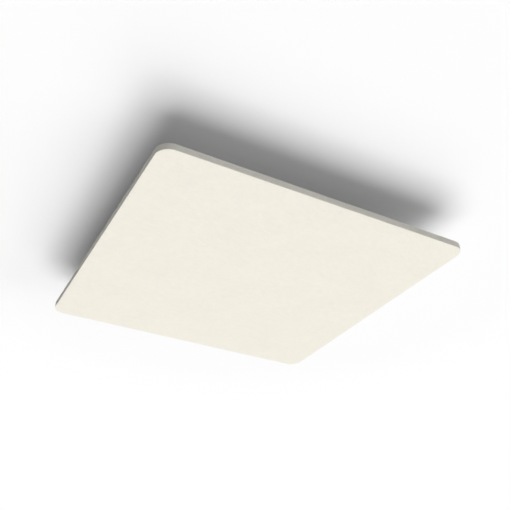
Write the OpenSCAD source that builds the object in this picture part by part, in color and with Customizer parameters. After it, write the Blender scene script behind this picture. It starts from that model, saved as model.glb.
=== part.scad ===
// Square ceiling panel: one board of pressed felt that hangs flat and face down.
// Four steel plates on its back hold threaded sockets for the hangers.
// Millimetres. The visible face lies at z = 0 and faces down; the origin is the middle of that face.

/* [Felt board] */
// Width of the board, along x
panel_w = 1200; // [600:10:2400]
// Depth of the board, along y
panel_d = 1200; // [600:10:2400]
// Thickness of the board
panel_t = 24; // [21:1:60]
// Radius of the four corners, seen from below
corner_r = 50; // [10:1:120]
// Radius that eases the rims of both faces
rim_r = 1.5; // [0.5:0.5:6]

/* [Hanger plates] */
// Distance from the edges of the board to the middle of each plate
hanger_inset = 250; // [70:5:250]
// Width of a round plate
plate_dia = 80; // [72:1:95]
// Thickness of the sheet steel
plate_t = 2; // [1.5:0.1:3]
// Height of the raised middle above the felt, on its underside
raise_h = 3; // [2.5:0.1:5]
// Width of the raised middle at its foot, on its underside
raise_foot_dia = 34; // [32:1:38]
// Width of the flat part of the raised middle, on its underside
raise_top_dia = 26; // [24:1:28]

/* [Threaded sockets] */
// Bore of the socket: the core of an M6 thread
thread_core_dia = 5; // [4:0.1:6]
// Outside width of the socket's barrel
barrel_dia = 9; // [8.5:0.1:11]
// Width of the flange under the plate
flange_dia = 20; // [16:1:22]
// Thickness of the flange
flange_t = 2; // [1:0.1:2.2]
// Height of the barrel above the plate
barrel_rise = 6; // [3:0.5:12]
// Width of the swaged collar on the plate
collar_dia = 12; // [11.5:0.1:14]
// Thickness of the collar
collar_t = 1; // [0.5:0.1:2]
// Width of the chamfers at both mouths of the bore
mouth_chamfer = 0.5; // [0.2:0.1:0.8]

/* [Plate screws] */
// Screws in each plate
screws_per_plate = 4; // [3:1:6]
// Width of the circle on which they stand
screw_circle_dia = 58; // [56:1:60]
// Outside width of a screw's thread
screw_dia = 4; // [3:0.1:4.5]
// Length of a screw, with its head
screw_l = 20; // [14:1:20]
// Width of the countersunk head
screw_head_dia = 8; // [7:0.1:9]
// Length of the point
screw_point_l = 4; // [2:0.5:6]
// Span of the cross recess in the head
recess_span = 4; // [3:0.1:4.2]
// Width of each slot of the cross recess
recess_w = 0.9; // [0.6:0.1:1.2]
// Depth of the cross recess
recess_depth = 1.2; // [0.8:0.1:1.3]

/* [Fits] */
// Gap between a screw and the felt around it
felt_gap = 0.05; // [0.02:0.01:0.2]
// Gap between a screw's head and its countersink
head_gap = 0.05; // [0.02:0.01:0.2]
// Gap between a screw's shank and the plate
shank_gap = 0.2; // [0.1:0.05:0.5]
// Gap between the barrel and the hole in the plate
barrel_gap = 0.05; // [0.02:0.01:0.2]

/* [Hidden] */

$fn = 96;
// How far a cutter reaches past the face that it opens
past = 1;

hanger_x = panel_w / 2 - hanger_inset;
hanger_y = panel_d / 2 - hanger_inset;
// The middles of the four hangers, counted round from the near left corner
hanger_places = [
    [-hanger_x, -hanger_y],
    [hanger_x, -hanger_y],
    [hanger_x, hanger_y],
    [-hanger_x, hanger_y]
];

// Height of the raised middle's upper face above the felt
raise_top_z = raise_h + plate_t;
// How much wider the slope is on the plate's upper side than on its underside
slope_angle = atan2(raise_h, (raise_foot_dia - raise_top_dia) / 2);
slope_widening = plate_t * tan(slope_angle / 2);

socket_bottom_z = raise_h - flange_t;
socket_top_z = raise_top_z + barrel_rise;

screw_turn = 360 / screws_per_plate;
// Height of the countersunk head, whose sides slope at 45 degrees
head_h = (screw_head_dia - screw_dia) / 2;

// Moves its children from the origin to the back of the board at one hanger
module at_hanger(i) {
    translate([hanger_places[i].x, hanger_places[i].y, panel_t])
        children();
}

// Copies its children to the places of the screws in one plate
module at_screws() {
    for (k = [0 : screws_per_plate - 1])
        rotate([0, 0, (k + 0.5) * screw_turn])
            translate([screw_circle_dia / 2, 0, 0])
                children();
}

// Section of the board from a corner's centre out to the edge, with both rims eased
module edge_section() {
    square([corner_r - rim_r, panel_t]);
    translate([0, rim_r])
        square([corner_r, panel_t - 2 * rim_r]);
    for (z = [rim_r, panel_t - rim_r])
        translate([corner_r - rim_r, z])
            circle(rim_r);
}

// One straight edge of the board, from corner to corner, lying along x on the far side
module edge_bar(l) {
    translate([-l / 2, 0, 0])
        rotate([90, 0, 90])
            linear_extrude(height = l)
                edge_section();
}

module corner() {
    rotate_extrude(angle = 90)
        edge_section();
}

// The whole board before the screws go in
module board() {
    flat_w = panel_w - 2 * corner_r;
    flat_d = panel_d - 2 * corner_r;
    translate([-flat_w / 2, -flat_d / 2, 0])
        cube([flat_w, flat_d, panel_t]);
    for (turn = [0, 180])
        rotate([0, 0, turn]) {
            translate([0, flat_d / 2, 0])
                edge_bar(flat_w);
            rotate([0, 0, 90])
                translate([0, flat_w / 2, 0])
                    edge_bar(flat_d);
            translate([flat_w / 2, flat_d / 2, 0])
                corner();
            translate([-flat_w / 2, flat_d / 2, 0])
                rotate([0, 0, 90])
                    corner();
        }
}

// The room that one screw takes in the felt, below its head's top face at z = plate_t
module screw_room() {
    translate([0, 0, plate_t])
        mirror([0, 0, 1]) {
            cylinder(h = head_h, d1 = screw_head_dia + 2 * felt_gap, d2 = screw_dia + 2 * felt_gap);
            cylinder(h = screw_l, d = screw_dia + 2 * felt_gap);
        }
}

module felt_panel() {
    color("ivory")
        difference() {
            board();
            for (i = [0 : 3])
                at_hanger(i)
                    at_screws()
                        screw_room();
        }
}

// Pressed disc with a raised middle that makes room for the socket's flange
module plate_disc() {
    rotate_extrude()
        polygon([
            [0, raise_h],
            [raise_top_dia / 2, raise_h],
            [raise_foot_dia / 2, 0],
            [plate_dia / 2, 0],
            [plate_dia / 2, plate_t],
            [raise_foot_dia / 2 + slope_widening, plate_t],
            [raise_top_dia / 2 + slope_widening, raise_top_z],
            [0, raise_top_z]
        ]);
}

// Cutter for one countersunk screw hole, with the plate's underside at z = 0
module countersink() {
    translate([0, 0, -past])
        cylinder(h = plate_t + 2 * past, d = screw_dia + 2 * shank_gap);
    translate([0, 0, plate_t - head_h])
        cylinder(h = head_h, d1 = screw_dia + 2 * head_gap, d2 = screw_head_dia + 2 * head_gap);
}

module hanger_plate(i) {
    color("silver")
        at_hanger(i)
            difference() {
                plate_disc();
                cylinder(h = raise_top_z + past, d = barrel_dia + 2 * barrel_gap);
                at_screws()
                    countersink();
            }
}

module threaded_socket(i) {
    color("goldenrod")
        at_hanger(i)
            difference() {
                union() {
                    translate([0, 0, socket_bottom_z])
                        cylinder(h = flange_t, d = flange_dia);
                    translate([0, 0, socket_bottom_z])
                        cylinder(h = socket_top_z - socket_bottom_z, d = barrel_dia);
                    translate([0, 0, raise_top_z])
                        cylinder(h = collar_t, d = collar_dia);
                }
                translate([0, 0, socket_bottom_z - past])
                    cylinder(h = socket_top_z - socket_bottom_z + 2 * past, d = thread_core_dia);
                translate([0, 0, socket_bottom_z])
                    bore_mouth();
                translate([0, 0, socket_top_z])
                    mirror([0, 0, 1])
                        bore_mouth();
            }
}

// Chamfer at a mouth of the socket's bore, opening downwards from z = 0
module bore_mouth() {
    cylinder(h = mouth_chamfer, d1 = thread_core_dia + 2 * mouth_chamfer, d2 = thread_core_dia);
}

// One screw with its head flush at z = plate_t and its point in the felt
module plate_screw() {
    shank_l = screw_l - head_h - screw_point_l;
    difference() {
        translate([0, 0, plate_t])
            mirror([0, 0, 1]) {
                cylinder(h = head_h, d1 = screw_head_dia, d2 = screw_dia);
                translate([0, 0, head_h])
                    cylinder(h = shank_l, d = screw_dia);
                translate([0, 0, head_h + shank_l])
                    cylinder(h = screw_point_l, d1 = screw_dia, d2 = 0);
            }
        for (turn = [0, 90])
            rotate([0, 0, turn])
                translate([-recess_span / 2, -recess_w / 2, plate_t - recess_depth])
                    cube([recess_span, recess_w, recess_depth + past]);
    }
}

module plate_screws() {
    color("gainsboro")
        for (i = [0 : 3])
            at_hanger(i)
                at_screws()
                    plate_screw();
}

felt_panel();
hanger_plate(0);  // hanger_plate_1
hanger_plate(1);  // hanger_plate_2
hanger_plate(2);  // hanger_plate_3
hanger_plate(3);  // hanger_plate_4
threaded_socket(0);  // threaded_socket_1
threaded_socket(1);  // threaded_socket_2
threaded_socket(2);  // threaded_socket_3
threaded_socket(3);  // threaded_socket_4
plate_screws();
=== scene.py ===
# Looks of a square ceiling panel of pressed felt and of the steel hanging hardware on its back.
# It hangs face down below a ceiling, and the camera looks up at it.
# Metres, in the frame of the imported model: the visible face lies at z = 0 and faces down.
import math
import random

import bmesh
import bpy
from mathutils import Matrix, Vector, noise


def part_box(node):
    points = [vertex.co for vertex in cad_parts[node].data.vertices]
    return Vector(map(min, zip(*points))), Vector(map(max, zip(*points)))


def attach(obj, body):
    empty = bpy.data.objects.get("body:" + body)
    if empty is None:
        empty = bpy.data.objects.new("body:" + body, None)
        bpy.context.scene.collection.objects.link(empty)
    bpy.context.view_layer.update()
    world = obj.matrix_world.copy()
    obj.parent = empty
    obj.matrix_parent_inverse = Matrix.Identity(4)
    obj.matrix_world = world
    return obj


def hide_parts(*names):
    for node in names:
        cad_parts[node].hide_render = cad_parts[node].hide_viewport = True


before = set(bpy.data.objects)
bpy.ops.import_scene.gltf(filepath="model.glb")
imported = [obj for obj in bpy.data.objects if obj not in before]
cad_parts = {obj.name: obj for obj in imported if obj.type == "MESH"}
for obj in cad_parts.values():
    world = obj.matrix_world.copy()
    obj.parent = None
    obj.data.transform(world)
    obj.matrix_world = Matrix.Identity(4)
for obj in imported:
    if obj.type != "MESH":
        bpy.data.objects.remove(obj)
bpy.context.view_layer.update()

MM = 0.001
# Seed of the turns of the screws and sockets about their axes
SEED = 7
# Numbers of the hangers in the names of the nodes
HANGERS = (1, 2, 3, 4)
# An edge is shaded sharp where its faces turn by more than this
SHARP_ANGLE = math.radians(35)
# Straight pieces of each rounded bend or edge of a turned outline
BEND_STEPS = 5

# Felt board
FELT_LOW, FELT_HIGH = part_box("felt_panel")
BACK_Z = FELT_HIGH.z
CORNER_R = 50 * MM
RIM_R = 1.5 * MM
RIM_STEPS = 5
GRID_STEP = 10 * MM
CORNER_STEPS = 20
SIDE_ROWS = 6
# Half the flat middle of a face, which ends where the corners start to turn
MIDDLE_X = FELT_HIGH.x - CORNER_R
MIDDLE_Y = FELT_HIGH.y - CORNER_R
# How deep the shallow dips of the pressed faces are, and how far apart
DIP_DEPTH = 0.15 * MM
DIP_SPACING = 90 * MM

# Hanger plates, with heights above the felt
PLATE_T = 2 * MM
RAISE_H = 3 * MM
RAISE_TOP_Z = RAISE_H + PLATE_T
RAISE_FOOT_R = 17 * MM
RAISE_TOP_R = 13 * MM
PLATE_HOLE_R = 4.55 * MM
PLATE_EDGE_R = 0.4 * MM
INNER_BEND_R = 1 * MM
OUTER_BEND_R = INNER_BEND_R + PLATE_T
PLATE_SEGMENTS = 144

# Threaded sockets
FLANGE_T = 2 * MM
FLANGE_R = 10 * MM
BARREL_R = 4.5 * MM
COLLAR_R = 6 * MM
COLLAR_T = 1 * MM
# Roundings of the sockets' edges, and of the throat between collar and barrel
FLANGE_EDGE_R = 0.3 * MM
COLLAR_FOOT_R = 0.1 * MM
COLLAR_TOP_R = 0.6 * MM
COLLAR_THROAT_R = 0.3 * MM
BARREL_TOP_R = 0.45 * MM
SOCKET_SEGMENTS = 72

# Thread of the sockets
THREAD_CORE_R = 2.5 * MM
THREAD_ROOT_R = 3 * MM
THREAD_PITCH = 1 * MM
# How far from the middle of the crest a flank starts and ends, in turns
FLANK_START = 1 / 8
FLANK_END = 7 / 16
# Height between two rings of vertices
THREAD_ROW = 0.1 * MM
MOUTH_R = 3.05 * MM

# Plate screws, whose heads lie flush in the plates
SCREWS_PER_PLATE = 4
SCREW_CIRCLE_R = 29 * MM
SCREW_R = 2 * MM
SCREW_CORE_R = 1.3 * MM
SCREW_L = 20 * MM
SCREW_HEAD_R = 4 * MM
SCREW_HEAD_H = SCREW_HEAD_R - SCREW_R
SCREW_RIM = 0.08 * MM
SCREW_NECK_R = 1.46 * MM
SCREW_NECK_L = 1.2 * MM
SCREW_POINT_L = 4 * MM
SCREW_PITCH = 1.8 * MM
# Half the width of a thread's ridge at its foot
SCREW_RIDGE = 0.42 * MM
# Height between two rings of vertices
SCREW_ROW = 0.14 * MM
SCREW_SEGMENTS = 32
SCREW_TOP_Z = PLATE_T
SCREW_NECK_Z = SCREW_TOP_Z - SCREW_HEAD_H
SCREW_THREAD_Z = SCREW_NECK_Z - SCREW_NECK_L
SCREW_TIP_Z = SCREW_TOP_Z - SCREW_L

# Cross recess of the screws
RECESS_HALF_SPAN = 2 * MM
RECESS_HALF_W = 0.45 * MM
RECESS_DEPTH = 1.2 * MM
# How far below the head's top the painted shade of the recess starts
RECESS_LIT_DEPTH = 0.2 * MM
# Width of the recess at its floor and just above the head, as shares of its width in the head's top
RECESS_NARROWED = 0.62
RECESS_FLARE = 1.28

# Room round a screw: in the felt, at its head and round its shank in the plate
FELT_GAP = 0.05 * MM
HEAD_GAP = 0.05 * MM
SHANK_GAP = 0.2 * MM
# How far a cutter reaches past the face that it opens
PAST = 1 * MM

# Camera: a 50 mm lens that looks up from below the near corner
CAMERA_AT = Vector((-1.1238, -2.1394, -1.3998))
CAMERA_PITCH = math.radians(32.316)
CAMERA_YAW = math.radians(28.706)
CAMERA_LENS = 50.0

# Stage: a ceiling above the panel and a floor below it, which turn as white as the world farther out.
# A fade is the distance where it starts and the one where it ends
CEILING_Z = BACK_Z + 143 * MM
CEILING_COLOUR = (0.85, 0.85, 0.85)
CEILING_GLOW = 0.135
CEILING_FADE = (1.15, 1.7)
# The floor covers the eased lower rim, which the light from below would show as a bright line
FLOOR_Z = FELT_LOW.z + 1 * MM
FLOOR_COLOUR = (0.93, 0.93, 0.93)
FLOOR_GLOW = 0.0
FLOOR_FADE = (1.3, 3.2)
# A white brim that keeps the ceiling out of level views: (radius, height) of its inner and outer edge
BRIM_INNER = (1.6, 0.150)
BRIM_OUTER = (2.3, 0.190)
BRIM_SEGMENTS = 96
BRIM_GLOW = 1.0
# Farther out than the brim reaches, because it is white all over
BRIM_FADE = (9.0, 10.0)
BLACK = (0.0, 0.0, 0.0)

# World. The light from below turns into the light from above over a band of heights round the horizon
LIGHT_BELOW = 0.046
LIGHT_ABOVE = 0.02
HORIZON_BAND = (-0.1, 0.1)
# Metal reflects this grey at the horizon, and white where it looks this steeply up or down
HORIZON_REFLECTED = 0.35
STEEP = 0.9

# Soft suns: (heading of the light, strength, width in degrees)
KEY_SUN = ((-0.181, -0.204, 0.962), 2.15, 65)
SLANT_SUN = ((-0.505, -0.647, 0.571), 1.13, 39)
SIDE_SUN = ((-0.779, 0.494, 0.386), 0.72, 35)
TOP_SUN = ((0.075, 0.170, -0.983), 2.85, 100)
GLINT_SUN = ((0.190, 0.290, -0.938), 0.3, 30)

# Grains of the felt
FIBRES = {"size": (7 * MM, 0.3 * MM, 0.3 * MM), "detail": 1.0, "distortion": 2.4}
FIBRE_TURNS = (7, 43, 81, 116, 154)
MOTTLE = {"size": (28 * MM, 18 * MM, 18 * MM), "turn": 25, "detail": 5.0, "distortion": 0.6}
CLOUD = {"size": (210 * MM, 150 * MM, 150 * MM), "turn": -20}
FLECKS = {"size": (22 * MM, 3 * MM, 3 * MM), "turn": 62, "detail": 1.0, "distortion": 0.8}
LAYERS = {"size": (18 * MM, 18 * MM, 0.7 * MM), "detail": 3.0, "distortion": 0.3}

# Grains of the steel
ROLLING = {"size": (20 * MM, 0.3 * MM, 0.3 * MM), "turn": 8, "detail": 3.0}
PLATING = {"size": (11 * MM, 8 * MM, 8 * MM), "turn": 40, "detail": 4.0, "distortion": 0.6}
SCRATCHES = {"size": (30 * MM, 0.4 * MM, 0.4 * MM), "detail": 1.0, "distortion": 0.2}
SCRATCH_TURNS = (18, 71, 133)
STAINS = {"size": (6 * MM, 5 * MM, 5 * MM), "turn": 30, "detail": 3.0, "distortion": 0.5}
TURNING_MARKS_PER_METRE = 5200.0
SCREW_PLATING = {"size": (1.4 * MM, 1.2 * MM, 1.2 * MM), "turn": 15, "detail": 4.0, "distortion": 0.5}

# Strength of each finer octave of a grain's noise, as a share of the one before
OCTAVE_SHARE = 0.6
# Where a grain starts to show, and where it shows in full
FIBRE_RANGE = (0.52, 0.80)
LAYER_RANGE = (0.27, 0.82)
FLECK_RANGE = (0.68, 0.78)
WARMTH_RANGE = (0.35, 0.65)
SCRATCH_RANGE = (0.72, 0.77)
STAIN_RANGE = (0.3, 0.7)
# How upright the normal is where the look of the board's sides ends, and where that of its faces starts
FACE_RANGE = (0.2, 0.8)
# Means of a plain grain, and of the fibres or layers and the flecks in their ranges
GRAIN_MEAN = 0.5
FINE_MEAN = 0.39
FLECK_MEAN = 0.06

# How much lighter a grain of 1 makes the colour than a grain of 0, as a share of it
FINE_TONE = 0.17
MOTTLE_TONE = 0.12
CLOUD_TONE = 0.05
FLECK_TONE = -0.05
PLATING_TONE = 0.25
ROLLING_TONE = 0.10
SCRATCH_TONE = -0.10
TURNING_TONE = 0.2
SCREW_PLATING_TONE = 0.3
# Painted shade: how much darker the screws' recess and shank are painted
RECESS_PAINTED_SHADE = 0.45

# Roughness where the grain is 0 and where it is 1, and what a scratch adds
FELT_ROUGHNESS = (0.98, 0.86)
PLATE_ROUGHNESS = (0.27, 0.52)
SOCKET_ROUGHNESS = (0.2, 0.4)
SCREW_ROUGHNESS = (0.2, 0.45)
SCRATCH_ROUGHNESS = 0.12
# Bumps: (strength, height that a grain of 1 stands for), and the mottle's height against the fibres'
FELT_BUMP = (0.7, 0.12 * MM)
PLATE_BUMP = (0.2, 0.02 * MM)
SOCKET_BUMP = (0.25, 0.02 * MM)
SCREW_BUMP = (0.15, 0.03 * MM)
MOTTLE_HEIGHT = 0.6

# Colours
FELT_COLOUR = (0.903, 0.869, 0.775)
FELT_WARM_COLOUR = (0.900, 0.864, 0.765)
# The cut sides' colour: the felt made a little greyer and darker, partly painted shade of the sides
FELT_EDGE_AND_SHADE_COLOUR = (0.872, 0.853, 0.772)
PLATE_COLOUR = (0.58, 0.60, 0.62)
PALE_ZINC_COLOUR = (0.68, 0.69, 0.69)
SOCKET_COLOUR = (0.66, 0.62, 0.50)
SOCKET_STAIN_COLOUR = (0.62, 0.55, 0.42)
SCREW_COLOUR = (0.56, 0.57, 0.58)


def add_object(name, data):
    """A new object of the scene that shows that mesh, lamp or camera."""
    obj = bpy.data.objects.new(name, data)
    bpy.context.scene.collection.objects.link(obj)
    return obj


def soften(obj):
    """Turns the faces outwards and shades them smooth between sharp edges."""
    work = bmesh.new()
    work.from_mesh(obj.data)
    bmesh.ops.recalc_face_normals(work, faces=work.faces)
    work.to_mesh(obj.data)
    work.free()
    obj.data.shade_smooth()
    obj.data.set_sharp_from_angle(angle=SHARP_ANGLE)


def mesh_object(name, verts, faces):
    """A softened object of those vertices and faces."""
    mesh = bpy.data.meshes.new(name)
    mesh.from_pydata(verts, [], faces)
    obj = add_object(name, mesh)
    soften(obj)
    return obj


def take_mesh(obj):
    """Removes an object and returns its mesh."""
    mesh = obj.data
    bpy.data.objects.remove(obj)
    return mesh


def copied(obj, places):
    """Gives obj one mesh that holds a copy of its own at each place."""
    work = bmesh.new()
    for place in places:
        single = obj.data.copy()
        single.transform(Matrix.Translation(place))
        work.from_mesh(single)
        bpy.data.meshes.remove(single)
    work.to_mesh(obj.data)
    work.free()
    return obj


def cut(obj, cutter):
    """Takes the cutter's room out of obj's mesh, and removes the cutter."""
    modifier = obj.modifiers.new("cut", "BOOLEAN")
    modifier.operation = "DIFFERENCE"
    modifier.solver = "EXACT"
    modifier.object = cutter
    bpy.context.view_layer.update()
    depsgraph = bpy.context.evaluated_depsgraph_get()
    carved = bpy.data.meshes.new_from_object(obj.evaluated_get(depsgraph))
    obj.modifiers.clear()
    whole = obj.data
    obj.data = carved
    carved.name = whole.name
    bpy.data.meshes.remove(whole)
    bpy.data.meshes.remove(take_mesh(cutter))
    soften(obj)


def heading(angle):
    """A level direction at that angle from x."""
    return Vector((math.cos(angle), math.sin(angle), 0))


def circle(radius, height, count):
    """Points round z at a height. The radius may be a function of the angle."""
    points = []
    for k in range(count):
        angle = math.tau * k / count
        r = radius(angle) if callable(radius) else radius
        points.append((r * math.cos(angle), r * math.sin(angle), height))
    return points


def band(lower, upper, count):
    """Faces between two circles of count vertices, whose first vertices have those numbers."""
    faces = []
    for k in range(count):
        after = (k + 1) % count
        faces.append((lower + k, lower + after, upper + after, upper + k))
    return faces


def rounded(corners):
    """A closed outline whose (x, y, radius) corners are each rounded by their own radius."""
    outline = []
    for k, (x, y, radius) in enumerate(corners):
        corner = Vector((x, y))
        if radius == 0:
            outline.append((x, y))
            continue
        before = (Vector(corners[k - 1][:2]) - corner).normalized()
        after = (Vector(corners[(k + 1) % len(corners)][:2]) - corner).normalized()
        half = before.angle(after) / 2
        middle = corner + (before + after).normalized() * radius / math.sin(half)
        reach = radius / math.tan(half)
        start = corner + before * reach - middle
        end = corner + after * reach - middle
        turn = math.atan2(start.x * end.y - start.y * end.x, start.dot(end))
        for step in range(BEND_STEPS + 1):
            share = turn * step / BEND_STEPS
            outline.append((
                middle.x + start.x * math.cos(share) - start.y * math.sin(share),
                middle.y + start.x * math.sin(share) + start.y * math.cos(share),
            ))
    return outline


def lathe(name, rows, segments, ring):
    """A body round z through (radius, height) rows. A radius may be a function of the angle.
    The rows of a ring close on the first one, and other bodies end in flat caps."""
    verts = []
    for radius, height in rows:
        verts += circle(radius, height, segments)
    faces = []
    for k in range(len(rows) if ring else len(rows) - 1):
        faces += band(k * segments, (k + 1) % len(rows) * segments, segments)
    if not ring:
        faces.append(tuple(range(segments)))
        faces.append(tuple(range(len(verts) - segments, len(verts))))
    return mesh_object(name, verts, faces)


def hanger_place(k):
    """The point on the back of the board under hanger k."""
    low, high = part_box(f"hanger_plate_{k}")
    return Vector(((low.x + high.x) / 2, (low.y + high.y) / 2, BACK_Z))


def screw_places():
    """The places of one plate's screws, seen from the plate's own middle."""
    for k in range(SCREWS_PER_PLATE):
        yield heading(math.tau * (k + 0.5) / SCREWS_PER_PLATE) * SCREW_CIRCLE_R


def board_spokes():
    """(foot, direction) of each spoke from the board's flat middle out to its edge, all the way round."""
    corners = [
        Vector((MIDDLE_X, MIDDLE_Y, 0)), Vector((-MIDDLE_X, MIDDLE_Y, 0)),
        Vector((-MIDDLE_X, -MIDDLE_Y, 0)), Vector((MIDDLE_X, -MIDDLE_Y, 0)),
    ]
    spokes = []
    for quarter, corner in enumerate(corners):
        for step in range(CORNER_STEPS):
            spokes.append((corner, heading(math.pi / 2 * (quarter + step / CORNER_STEPS))))
        outward = heading(math.pi / 2 * (quarter + 1))
        following = corners[(quarter + 1) % 4]
        cells = round((following - corner).length / GRID_STEP)
        for cell in range(cells):
            spokes.append((corner.lerp(following, cell / cells), outward))
    return spokes


def board_levels():
    """(inset, height) of each ring round the board, from the lower face up to the upper one."""
    face_insets = [CORNER_R - GRID_STEP * k for k in range(1, round(CORNER_R / GRID_STEP))]
    levels = [(inset, 0.0) for inset in face_insets]
    arc = [math.pi / 2 * step / RIM_STEPS for step in range(RIM_STEPS + 1)]
    rim = [(RIM_R * (1 - math.sin(a)), RIM_R * (1 - math.cos(a))) for a in arc]
    levels += rim
    straight = BACK_Z - 2 * RIM_R
    levels += [(0.0, RIM_R + straight * row / SIDE_ROWS) for row in range(1, SIDE_ROWS)]
    levels += [(inset, BACK_Z - height) for inset, height in reversed(rim)]
    levels += [(inset, BACK_Z) for inset in reversed(face_insets)]
    return levels


def face_grid(work, height):
    """The flat middle of one face, in square cells. Returns its vertices by their place in the grid."""
    cells_x = round(2 * MIDDLE_X / GRID_STEP)
    cells_y = round(2 * MIDDLE_Y / GRID_STEP)
    grid = {}
    for i in range(cells_x + 1):
        x = -MIDDLE_X + 2 * MIDDLE_X * i / cells_x
        for j in range(cells_y + 1):
            y = -MIDDLE_Y + 2 * MIDDLE_Y * j / cells_y
            grid[i, j] = work.verts.new((x, y, height))
    for i in range(cells_x):
        for j in range(cells_y):
            work.faces.new((grid[i, j], grid[i + 1, j], grid[i + 1, j + 1], grid[i, j + 1]))
    return grid


def grid_ring(grid, spokes):
    """The grid's vertex at the foot of each spoke."""
    ring = []
    for foot, _ in spokes:
        i = round((foot.x + MIDDLE_X) / GRID_STEP)
        j = round((foot.y + MIDDLE_Y) / GRID_STEP)
        ring.append(grid[i, j])
    return ring


def join_rings(work, ring, following):
    """Faces between two rings of vertices. Where a vertex repeats, the face there is a triangle."""
    count = len(ring)
    for k in range(count):
        after = (k + 1) % count
        corners = []
        for vert in (ring[k], ring[after], following[after], following[k]):
            if vert not in corners:
                corners.append(vert)
        if len(corners) > 2:
            work.faces.new(corners)


def press_dips(work):
    """Moves each vertex inwards, by up to the depth of the dips."""
    bmesh.ops.recalc_face_normals(work, faces=work.faces)
    work.normal_update()
    for vert in work.verts:
        dip = DIP_DEPTH * (0.5 + 0.5 * noise.noise(vert.co / DIP_SPACING))
        vert.co -= vert.normal * dip


def screw_hole_cutter():
    """Cutter for the holes of all the plate screws in the board."""
    radius = SCREW_R + FELT_GAP
    rows = [(radius, SCREW_TIP_Z), (radius, PAST)]
    hole = lathe("screw_hole", rows, SCREW_SEGMENTS, ring=False)
    return copied(hole, [hanger_place(k) + place for k in HANGERS for place in screw_places()])


def make_felt_board():
    """The pressed board: faces with very shallow dips, eased rims and the holes of the screws."""
    work = bmesh.new()
    spokes = board_spokes()
    rings = [grid_ring(face_grid(work, 0.0), spokes)]
    for inset, height in board_levels():
        reach = CORNER_R - inset
        lift = Vector((0, 0, height))
        rings.append([work.verts.new(foot + out * reach + lift) for foot, out in spokes])
    rings.append(grid_ring(face_grid(work, BACK_Z), spokes))
    for ring, following in zip(rings, rings[1:]):
        join_rings(work, ring, following)
    press_dips(work)
    mesh = bpy.data.meshes.new("felt_board")
    work.to_mesh(mesh)
    work.free()
    board = add_object("felt_board", mesh)
    cut(board, screw_hole_cutter())
    return board


def countersink_cutter():
    """Cutter for the countersunk screw holes of one plate."""
    shank_r = SCREW_R + SHANK_GAP
    cone_r = SCREW_R + HEAD_GAP
    cone_h = SCREW_HEAD_H + PAST
    rows = [
        (shank_r, -PAST),
        (shank_r, SCREW_NECK_Z + shank_r - cone_r),
        (cone_r + cone_h, SCREW_NECK_Z + cone_h),
    ]
    return copied(lathe("countersink", rows, SCREW_SEGMENTS, ring=False), screw_places())


def make_plate_mesh():
    """One hanger plate: a pressed disc with a raised middle, rounded bends and countersunk holes."""
    low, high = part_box("hanger_plate_1")
    rim_r = (high.x - low.x) / 2
    slope = math.atan2(RAISE_H, RAISE_FOOT_R - RAISE_TOP_R)
    widening = PLATE_T * math.tan(slope / 2)
    outline = rounded([
        (PLATE_HOLE_R, RAISE_H, 0),
        (RAISE_TOP_R, RAISE_H, INNER_BEND_R),
        (RAISE_FOOT_R, 0, OUTER_BEND_R),
        (rim_r, 0, PLATE_EDGE_R),
        (rim_r, PLATE_T, PLATE_EDGE_R),
        (RAISE_FOOT_R + widening, PLATE_T, INNER_BEND_R),
        (RAISE_TOP_R + widening, RAISE_TOP_Z, OUTER_BEND_R),
        (PLATE_HOLE_R, RAISE_TOP_Z, 0),
    ])
    plate = lathe("hanger_plate", outline, PLATE_SEGMENTS, ring=True)
    cut(plate, countersink_cutter())
    return take_mesh(plate)


def socket_thread_r(angle, height):
    """Radius of the socket's internal thread: flat crests and roots with straight flanks between."""
    turn = (height / THREAD_PITCH - angle / math.tau) % 1
    away = abs(turn - 0.5)
    share = min(max((away - FLANK_START) / (FLANK_END - FLANK_START), 0), 1)
    return THREAD_CORE_R + (THREAD_ROOT_R - THREAD_CORE_R) * share


def make_socket_mesh():
    """One threaded socket: a turned flange, barrel and swaged collar, with a real thread in its bore."""
    low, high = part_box("threaded_socket_1")
    bottom, top = low.z - BACK_Z, high.z - BACK_Z
    outline = rounded([
        (MOUTH_R, bottom, 0),
        (FLANGE_R, bottom, FLANGE_EDGE_R),
        (FLANGE_R, bottom + FLANGE_T, FLANGE_EDGE_R),
        (BARREL_R, bottom + FLANGE_T, 0),
        (BARREL_R, RAISE_TOP_Z, 0),
        (COLLAR_R, RAISE_TOP_Z, COLLAR_FOOT_R),
        (COLLAR_R, RAISE_TOP_Z + COLLAR_T, COLLAR_TOP_R),
        (BARREL_R, RAISE_TOP_Z + COLLAR_T, COLLAR_THROAT_R),
        (BARREL_R, top, BARREL_TOP_R),
        (MOUTH_R, top, 0),
    ])

    def bore_r(height):
        mouth = MOUTH_R - min(height - bottom, top - height)
        return lambda angle: max(mouth, socket_thread_r(angle, height))

    count = round((top - bottom) / THREAD_ROW)
    heights = [top - (top - bottom) * k / count for k in range(1, count)]
    rows = outline + [(bore_r(height), height) for height in heights]
    return take_mesh(lathe("threaded_socket", rows, SOCKET_SEGMENTS, ring=True))


def screw_thread_r(height):
    """Radius of the screw's threaded shank at a height, as a function of the angle."""
    taper = min((height - SCREW_TIP_Z) / SCREW_POINT_L, 1)
    risen = min((SCREW_THREAD_Z - height) / SCREW_PITCH, 1)
    core = SCREW_CORE_R * taper
    ridge = (SCREW_R * taper - core) * risen

    def radius(angle):
        turn = (height / SCREW_PITCH - angle / math.tau) % 1
        away = abs(turn - 0.5) * SCREW_PITCH
        return core + ridge * max(1 - away / SCREW_RIDGE, 0)

    return radius


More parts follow.
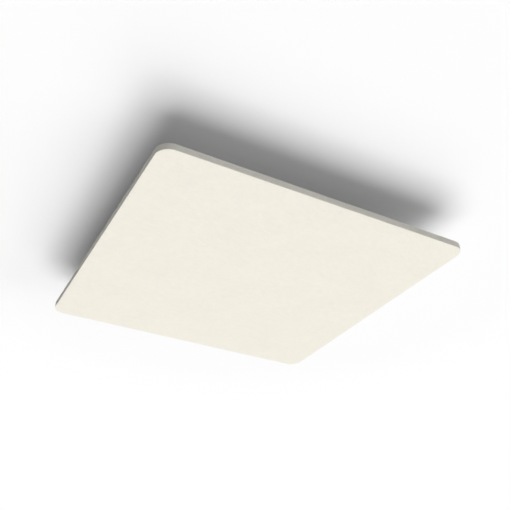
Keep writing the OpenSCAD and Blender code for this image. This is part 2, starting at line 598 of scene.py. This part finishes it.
def cross_cutter():
    """Cutter for a cross recess: a four-winged star that narrows downwards."""
    verts = []
    levels = ((PAST, RECESS_FLARE), (0.0, 1.0), (-RECESS_DEPTH, RECESS_NARROWED))
    for height, share in levels:
        span, wide = RECESS_HALF_SPAN * share, RECESS_HALF_W * share
        for quarter in range(4):
            turn = Matrix.Rotation(math.pi / 2 * quarter, 3, "Z")
            for x, y in ((wide, -wide), (span, -wide), (span, wide)):
                verts.append(turn @ Vector((x, y, SCREW_TOP_Z + height)))
    points = len(verts) // len(levels)
    faces = [tuple(range(points)), tuple(range(2 * points, 3 * points))]
    faces += band(0, points, points) + band(points, 2 * points, points)
    return mesh_object("cross_cutter", verts, faces)


def make_screw_mesh():
    """One plate screw: a countersunk head with a cross recess, and a coarse thread down to its point."""
    rows = [
        (SCREW_HEAD_R - 2 * SCREW_RIM, SCREW_TOP_Z),
        (SCREW_HEAD_R - SCREW_RIM, SCREW_TOP_Z - SCREW_RIM / 4),
        (SCREW_HEAD_R - SCREW_RIM, SCREW_TOP_Z - SCREW_RIM),
        (SCREW_R, SCREW_NECK_Z),
        (SCREW_NECK_R, SCREW_NECK_Z - SCREW_NECK_L / 2),
        (SCREW_CORE_R, SCREW_THREAD_Z),
    ]
    count = round((SCREW_THREAD_Z - SCREW_TIP_Z) / SCREW_ROW)
    heights = [SCREW_THREAD_Z + (SCREW_TIP_Z - SCREW_THREAD_Z) * k / count for k in range(1, count)]
    rows += [(screw_thread_r(height), height) for height in heights]
    screw = lathe("plate_screw", rows, SCREW_SEGMENTS, ring=False)
    cut(screw, cross_cutter())
    return take_mesh(screw)


class Nodes:
    """A node tree, with short ways to add its nodes."""

    def __init__(self, tree, output_kind):
        self.tree = tree
        self.tree.nodes.clear()
        self.output = self.tree.nodes.new(output_kind)

    def add(self, kind, inputs=None, **settings):
        """Adds a node. An input is a value, or the socket that it is linked to."""
        made = self.tree.nodes.new(kind)
        for key, value in settings.items():
            setattr(made, key, value)
        for key, value in (inputs or {}).items():
            if isinstance(value, bpy.types.NodeSocket):
                self.tree.links.new(value, made.inputs[key])
            else:
                made.inputs[key].default_value = value
        return made

    def surface(self, socket):
        """Shows that shader."""
        self.tree.links.new(socket, self.output.inputs["Surface"])

    def maths(self, operation, *values):
        """The result of an operation on those values."""
        return self.add("ShaderNodeMath", dict(enumerate(values)), operation=operation).outputs[0]

    def line(self, value, at_zero, at_one):
        """A straight line through at_zero where the value is 0 and at_one where it is 1."""
        return self.maths("MULTIPLY_ADD", value, at_one - at_zero, at_zero)

    def spread(self, value, low, high, to_low=0.0, to_high=1.0):
        """Maps a value smoothly from one range to another, and keeps it there."""
        ends = {"Value": value, "From Min": low, "From Max": high, "To Min": to_low, "To Max": to_high}
        return self.add("ShaderNodeMapRange", ends, interpolation_type="SMOOTHSTEP").outputs["Result"]

    def mix(self, share, a, b):
        """A number between a and b."""
        return self.add("ShaderNodeMix", {"Factor": share, "A": a, "B": b}, data_type="FLOAT").outputs[0]


class Look(Nodes):
    """The node tree of a new material."""

    def __init__(self, name):
        self.material = bpy.data.materials.new(name)
        self.material.use_nodes = True
        super().__init__(self.material.node_tree, "ShaderNodeOutputMaterial")

    def place(self):
        """The point in the piece's own frame, in metres."""
        return self.add("ShaderNodeTexCoord").outputs["Object"]

    def grain(self, size, turn=0.0, detail=2.0, distortion=0.0):
        """Noise with grains of about that size, turned about z by degrees. Its mean is GRAIN_MEAN."""
        turned = {"Vector": self.place(), "Rotation": (0, 0, math.radians(turn)), "Scale": size}
        point = self.add("ShaderNodeMapping", turned, vector_type="TEXTURE").outputs["Vector"]
        kind = {"Scale": 1.0, "Detail": detail, "Roughness": OCTAVE_SHARE, "Distortion": distortion}
        return self.add("ShaderNodeTexNoise", {"Vector": point, **kind}).outputs["Fac"]

    def crossed_grain(self, grain, turns):
        """The highest of a grain's noises at several turns."""
        highest = 0.0
        for turn in turns:
            highest = self.maths("MAXIMUM", highest, self.grain(**grain, turn=turn))
        return highest

    def mix_colours(self, share, a, b):
        """A colour between a and b. Each of them is a socket or three numbers."""
        a, b = (c if isinstance(c, bpy.types.NodeSocket) else (*c, 1) for c in (a, b))
        # By number, because the node has an A, a B and a result of each kind of data
        return self.add("ShaderNodeMix", {0: share, 6: a, 7: b}, data_type="RGBA").outputs[2]

    def toned(self, colour, *changes):
        """A colour made lighter or darker by (grain, its mean, strength) changes."""
        tone = 1.0
        for value, mean, strength in changes:
            tone = self.maths("MULTIPLY_ADD", value, strength, self.maths("ADD", tone, -strength * mean))
        scaled = self.add("ShaderNodeVectorMath", {0: colour, "Scale": tone}, operation="SCALE")
        return scaled.outputs["Vector"]

    def bump(self, height, strength, distance):
        """A surface normal that a height tilts. The distance is what a height of one stands for."""
        raised = {"Height": height, "Strength": strength, "Distance": distance}
        return self.add("ShaderNodeBump", raised).outputs["Normal"]

    def principled(self, finish):
        """Gives the material a principled surface with these inputs, and returns the material."""
        self.surface(self.add("ShaderNodeBsdfPrincipled", finish).outputs["BSDF"])
        return self.material


def felt_material():
    """Matt cream felt: fine fibres in all directions, a faint cloudy mottle, and layered cut edges painted a
    little greyer and darker as painted shade.
    """
    look = Look("pressed_felt")
    fibres = look.spread(look.crossed_grain(FIBRES, FIBRE_TURNS), *FIBRE_RANGE)
    mottle = look.grain(**MOTTLE)
    cloud = look.grain(**CLOUD)
    flecks = look.spread(look.grain(**FLECKS), *FLECK_RANGE)
    layers = look.spread(look.grain(**LAYERS), *LAYER_RANGE)
    normal = look.add("ShaderNodeNewGeometry").outputs["True Normal"]
    upright = look.maths("ABSOLUTE", look.add("ShaderNodeSeparateXYZ", {0: normal}).outputs["Z"])
    side = look.spread(upright, *FACE_RANGE, 1.0, 0.0)
    fine = look.mix(side, fibres, layers)
    hue = look.mix_colours(look.spread(mottle, *WARMTH_RANGE), FELT_COLOUR, FELT_WARM_COLOUR)
    # Painted shade in part: the sides take the greyer, darker edge colour
    hue = look.mix_colours(side, hue, FELT_EDGE_AND_SHADE_COLOUR)
    finish = {
        "Base Color": look.toned(
            hue,
            (fine, FINE_MEAN, FINE_TONE),
            (mottle, GRAIN_MEAN, MOTTLE_TONE),
            (cloud, GRAIN_MEAN, CLOUD_TONE),
            (flecks, FLECK_MEAN, FLECK_TONE),
        ),
        "Roughness": look.spread(fine, 0.0, 1.0, *FELT_ROUGHNESS),
        "IOR": 1.5,
        "Specular IOR Level": 0.2,
        "Sheen Weight": 0.12,
        "Sheen Roughness": 0.5,
        "Normal": look.bump(look.maths("MULTIPLY_ADD", mottle, MOTTLE_HEIGHT, fine), *FELT_BUMP),
    }
    return look.principled(finish)


def plate_material():
    """Zinc-plated sheet steel: a fine rolling grain, cloudy plating and fine scratches."""
    look = Look("zinc_plated_sheet")
    rolling = look.grain(**ROLLING)
    cloud = look.grain(**PLATING)
    scratches = look.spread(look.crossed_grain(SCRATCHES, SCRATCH_TURNS), *SCRATCH_RANGE)
    rough = look.line(cloud, *PLATE_ROUGHNESS)
    finish = {
        "Base Color": look.toned(
            look.mix_colours(cloud, PLATE_COLOUR, PALE_ZINC_COLOUR),
            (cloud, GRAIN_MEAN, PLATING_TONE),
            (rolling, GRAIN_MEAN, ROLLING_TONE),
            (scratches, 0.0, SCRATCH_TONE),
        ),
        "Metallic": 1.0,
        "Roughness": look.maths("MULTIPLY_ADD", scratches, SCRATCH_ROUGHNESS, rough),
        "Normal": look.bump(look.maths("SUBTRACT", rolling, scratches), *PLATE_BUMP),
    }
    return look.principled(finish)


def socket_material():
    """Yellow-passivated turned steel, with fine turning marks round its axis."""
    look = Look("turned_steel")
    point = look.add("ShaderNodeSeparateXYZ", {0: look.place()})
    across = {"X": point.outputs["X"], "Y": point.outputs["Y"]}
    away = look.add("ShaderNodeCombineXYZ", across).outputs["Vector"]
    radius = look.add("ShaderNodeVectorMath", {0: away}, operation="LENGTH").outputs["Value"]
    ring = look.add("ShaderNodeCombineXYZ", {"X": radius, "Z": point.outputs["Z"]}).outputs["Vector"]
    turned = {"Vector": ring, "Scale": TURNING_MARKS_PER_METRE, "Detail": 3.0}
    marks = look.add("ShaderNodeTexNoise", turned).outputs["Fac"]
    stain = look.grain(**STAINS)
    finish = {
        "Base Color": look.toned(
            look.mix_colours(look.spread(stain, *STAIN_RANGE), SOCKET_COLOUR, SOCKET_STAIN_COLOUR),
            (marks, GRAIN_MEAN, TURNING_TONE),
        ),
        "Metallic": 1.0,
        "Roughness": look.line(marks, *SOCKET_ROUGHNESS),
        "Normal": look.bump(marks, *SOCKET_BUMP),
    }
    return look.principled(finish)


def screw_material():
    """Zinc-plated screw steel, with painted shade darkening its recess and its shank."""
    look = Look("zinc_plated_screw")
    cloud = look.grain(**SCREW_PLATING)
    height = look.add("ShaderNodeSeparateXYZ", {0: look.place()}).outputs["Z"]
    # Painted shade: the colour darkens down into the recess and stays dark down the shank
    lit = look.spread(height, SCREW_TOP_Z - RECESS_DEPTH, SCREW_TOP_Z - RECESS_LIT_DEPTH)
    finish = {
        "Base Color": look.toned(
            look.mix_colours(cloud, SCREW_COLOUR, PALE_ZINC_COLOUR),
            (cloud, GRAIN_MEAN, SCREW_PLATING_TONE),
            (lit, 1.0, RECESS_PAINTED_SHADE),
        ),
        "Metallic": 1.0,
        "Roughness": look.line(cloud, *SCREW_ROUGHNESS),
        "Normal": look.bump(cloud, *SCREW_BUMP),
    }
    return look.principled(finish)


def stage_material(name, colour, glow, fade):
    """Matt paint that shows on the front of a stage piece only, and turns white between two distances."""
    look = Look(name)
    away = look.add("ShaderNodeVectorMath", {0: look.place()}, operation="LENGTH").outputs["Value"]
    faded = look.spread(away, *fade)
    shade = look.mix_colours(faded, colour, BLACK)
    paint = look.add("ShaderNodeBsdfDiffuse", {"Color": shade}).outputs[0]
    light = look.add("ShaderNodeEmission", {"Strength": look.mix(faded, glow, 1.0)}).outputs[0]
    front = look.add("ShaderNodeAddShader", {0: paint, 1: light}).outputs[0]
    back = look.add("ShaderNodeNewGeometry").outputs["Backfacing"]
    clear = look.add("ShaderNodeBsdfTransparent").outputs[0]
    look.surface(look.add("ShaderNodeMixShader", {0: back, 1: front, 2: clear}).outputs[0])
    return look.material


def place_mesh(name, mesh, place, turn):
    """A new object with that mesh at a place, turned about z."""
    obj = add_object(name, mesh)
    obj.location = place
    obj.rotation_euler.z = turn
    return obj


def dress(piece, node):
    """Attaches a piece to the root body and hides the node of the model that it replaces."""
    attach(piece, "root")
    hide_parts(node)


def make_pieces():
    """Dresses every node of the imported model."""
    board = make_felt_board()
    board.data.materials.append(felt_material())
    dress(board, "felt_panel")
    plate_mesh = make_plate_mesh()
    socket_mesh = make_socket_mesh()
    screw_mesh = make_screw_mesh()
    plate_mesh.materials.append(plate_material())
    socket_mesh.materials.append(socket_material())
    screw_mesh.materials.append(screw_material())
    chance = random.Random(SEED)
    for k in HANGERS:
        middle = hanger_place(k)
        plate = place_mesh(f"pressed_plate_{k}", plate_mesh, middle, math.pi / 2 * k)
        dress(plate, f"hanger_plate_{k}")
        socket = place_mesh(f"turned_socket_{k}", socket_mesh, middle, chance.uniform(0, math.tau))
        dress(socket, f"threaded_socket_{k}")
        for j, place in enumerate(screw_places(), 1):
            turn = chance.uniform(0, math.tau)
            screw = place_mesh(f"plate_screw_{k}_{j}", screw_mesh, middle + place, turn)
            dress(screw, "plate_screws")


def make_stage_piece(name, verts, faces, height, material):
    """A piece of the stage that only the camera sees."""
    mesh = bpy.data.meshes.new(name)
    mesh.from_pydata(verts, [], faces)
    mesh.materials.append(material)
    piece = add_object(name, mesh)
    piece.location.z = height
    piece.visible_shadow = False
    piece.visible_diffuse = False
    piece.visible_glossy = False
    piece.visible_transmission = False


def make_plane(name, height, reach, material, faces_up):
    """A square of the stage whose front faces up or down."""
    corners = [(-reach, -reach, 0), (reach, -reach, 0), (reach, reach, 0), (-reach, reach, 0)]
    make_stage_piece(name, corners if faces_up else corners[::-1], [(0, 1, 2, 3)], height, material)


def make_stage():
    """The ceiling, the floor, and a brim whose front is seen from outside and below."""
    ceiling_paint = stage_material("ceiling_paint", CEILING_COLOUR, CEILING_GLOW, CEILING_FADE)
    make_plane("ceiling", CEILING_Z, CEILING_FADE[1], ceiling_paint, faces_up=False)
    floor_paint = stage_material("floor_paint", FLOOR_COLOUR, FLOOR_GLOW, FLOOR_FADE)
    make_plane("floor", FLOOR_Z, FLOOR_FADE[1], floor_paint, faces_up=True)
    brim_paint = stage_material("white_brim", BLACK, BRIM_GLOW, BRIM_FADE)
    edges = circle(*BRIM_INNER, BRIM_SEGMENTS) + circle(*BRIM_OUTER, BRIM_SEGMENTS)
    make_stage_piece("brim", edges, band(0, BRIM_SEGMENTS, BRIM_SEGMENTS), 0.0, brim_paint)


def make_world():
    """White for the camera. Metal sees it fade to grey at the horizon, and it gives a little light."""
    world = bpy.data.worlds.new("world")
    world.use_nodes = True
    bpy.context.scene.world = world
    sky = Nodes(world.node_tree, "ShaderNodeOutputWorld")
    direction = sky.add("ShaderNodeTexCoord").outputs["Generated"]
    height = sky.add("ShaderNodeSeparateXYZ", {0: direction}).outputs["Z"]
    light = sky.spread(height, *HORIZON_BAND, LIGHT_BELOW, LIGHT_ABOVE)
    away = sky.maths("ABSOLUTE", height)
    reflected = sky.spread(away, 0.0, STEEP, HORIZON_REFLECTED, 1.0)
    path = sky.add("ShaderNodeLightPath")
    strength = sky.mix(path.outputs["Is Glossy Ray"], light, reflected)
    strength = sky.mix(path.outputs["Is Camera Ray"], strength, 1.0)
    sky.surface(sky.add("ShaderNodeBackground", {"Color": (1, 1, 1, 1), "Strength": strength}).outputs[0])


def make_sun(name, towards, strength, width, direct_only=False):
    """A soft distant lamp. Its width is an angle in degrees, and a direct one gives no bounced light."""
    data = bpy.data.lights.new(name, "SUN")
    data.energy = strength
    data.angle = math.radians(width)
    if direct_only:
        data.cycles.max_bounces = 0
        data.cycles.use_multiple_importance_sampling = False
    sun = add_object(name, data)
    sun.rotation_mode = "QUATERNION"
    sun.rotation_quaternion = Vector(towards).to_track_quat("-Z", "Y")
    return sun


def make_suns():
    """Suns from below for the face, the sides and the shadow on the ceiling, and from above for the back."""
    make_sun("key", *KEY_SUN)
    make_sun("slant", *SLANT_SUN)
    make_sun("side", *SIDE_SUN)
    top = make_sun("top", *TOP_SUN, direct_only=True)
    top.visible_glossy = False
    make_sun("glint", *GLINT_SUN, direct_only=True)


def make_camera():
    """The camera of the photograph's view."""
    data = bpy.data.cameras.new("camera")
    data.lens = CAMERA_LENS
    camera = add_object("camera", data)
    camera.location = CAMERA_AT
    camera.rotation_euler = (math.pi / 2 + CAMERA_PITCH, 0, -CAMERA_YAW)
    bpy.context.scene.camera = camera


bpy.context.scene.view_settings.view_transform = "Standard"
make_pieces()
make_stage()
make_world()
make_suns()
make_camera()
